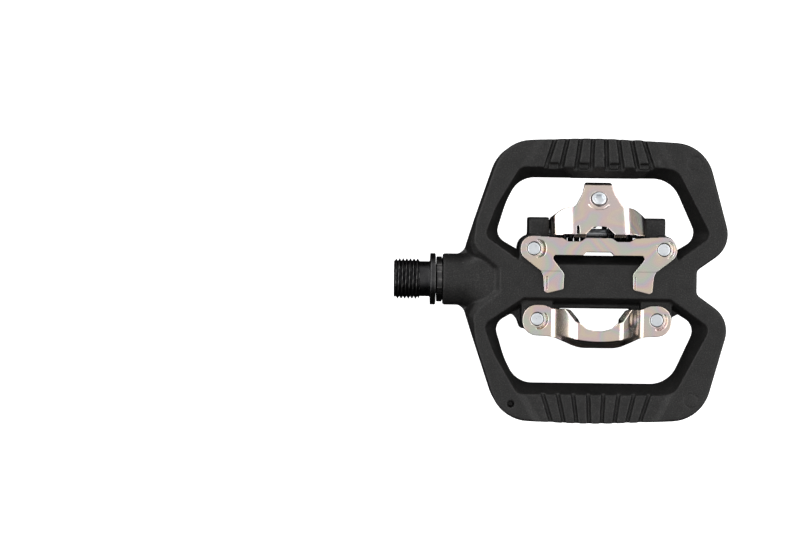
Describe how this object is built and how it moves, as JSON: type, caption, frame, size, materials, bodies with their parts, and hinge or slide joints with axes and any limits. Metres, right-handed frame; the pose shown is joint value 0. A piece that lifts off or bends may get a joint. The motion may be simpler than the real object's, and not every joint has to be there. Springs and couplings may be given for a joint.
{
  "type": "clipless pedal",
  "caption": "Left-hand clipless pedal: flat ribbed composite cage, sprung cleat mechanism on its clip side, and a threaded steel spindle on a plain bush and ball bearings.",
  "frame": {"origin": "on the spindle's axis, in the plane of the flange's crank-side face, which seats against the crank arm", "axes": "+X points outboard along the spindle, +Y towards the sprung rear claw, +Z out of the clip side"},
  "size_m": [0.1164, 0.0998, 0.0265],
  "materials": {
    "composite": "moulded glass-filled nylon, fine matte grain",
    "plated_steel": "bright stamped steel with a thin iridescent passivated plating",
    "zinc_steel": "bright zinc",
    "black_steel": "black oxide",
    "spring_steel": "black oiled spring wire",
    "bearing_steel": "ground bearing steel",
    "seal_rubber": "matte nitrile",
    "bush_polymer": "filled polymer"
  },
  "bodies": {
    "axle": {"spindle": "black_steel", "bearing_inner_ring_1": "bearing_steel", "bearing_inner_ring_2": "bearing_steel", "bearing_spacer": "bearing_steel", "lock_washer": "zinc_steel", "spindle_nut": "zinc_steel"},
    "platform": {"pedal_body": "composite", "cartridge_collar": "black_steel", "spindle_seal": "seal_rubber", "plain_bushing": "bush_polymer", "bearing_outer_ring_1": "bearing_steel", "bearing_outer_ring_2": "bearing_steel", "cleat_plate": "plated_steel", "front_claw": "plated_steel", "pivot_pin": "zinc_steel", "spring_left": "spring_steel", "spring_right": "spring_steel", "plate_screw_1": "zinc_steel", "plate_screw_2": "zinc_steel", "claw_screw_1": "zinc_steel", "claw_screw_2": "zinc_steel"},
    "ball_set": {"ball_cage_1": "bush_polymer", "ball_cage_2": "bush_polymer", "bearing_ball_1_1": "bearing_steel", "bearing_ball_1_2": "bearing_steel", "bearing_ball_1_3": "bearing_steel", "bearing_ball_1_4": "bearing_steel", "bearing_ball_1_5": "bearing_steel", "bearing_ball_1_6": "bearing_steel", "bearing_ball_1_7": "bearing_steel", "bearing_ball_2_1": "bearing_steel", "bearing_ball_2_2": "bearing_steel", "bearing_ball_2_3": "bearing_steel", "bearing_ball_2_4": "bearing_steel", "bearing_ball_2_5": "bearing_steel", "bearing_ball_2_6": "bearing_steel", "bearing_ball_2_7": "bearing_steel"},
    "rear_claw": {"rear_claw": "plated_steel"},
    "tension_screw": {"tension_screw": "zinc_steel"},
    "tension_nut": {"tension_nut": "zinc_steel"}
  },
  "joints": [
    {"name": "spin", "type": "hinge", "parent": "axle", "child": "platform", "pos_m": [0, 0, 0], "axis": [1, 0, 0], "continuous": true},
    {"name": "ball_cage_roll", "type": "hinge", "parent": "axle", "child": "ball_set", "pos_m": [0, 0, 0], "axis": [1, 0, 0], "continuous": true},
    {"name": "claw_pivot", "type": "hinge", "parent": "platform", "child": "rear_claw", "pos_m": [0.0584, 0.0168, -0.002], "axis": [-1, 0, 0], "range_deg": [0, 14], "stiffness_Nm_per_rad": 3, "springref_deg": -51.57, "deforming": ["spring_left", "spring_right"]},
    {"name": "tension_turn", "type": "hinge", "parent": "rear_claw", "child": "tension_screw", "pos_m": [0.0584, 0.0288, 0.00982], "axis": [0, -0.4772, -0.8788], "range_deg": [-720, 720]},
    {"name": "tension_nut_slide", "type": "slide", "parent": "rear_claw", "child": "tension_nut", "axis": [0, 0.4772, 0.8788], "range_m": [-0.00139, 0.00139], "deforming": ["spring_left", "spring_right"]}
  ],
  "couplings": [
    {"joint": "ball_cage_roll", "follows": "spin", "ratio": 0.6},
    {"joint": "tension_turn", "follows": "tension_nut_slide", "rad_per_m": 8976}
  ]
}
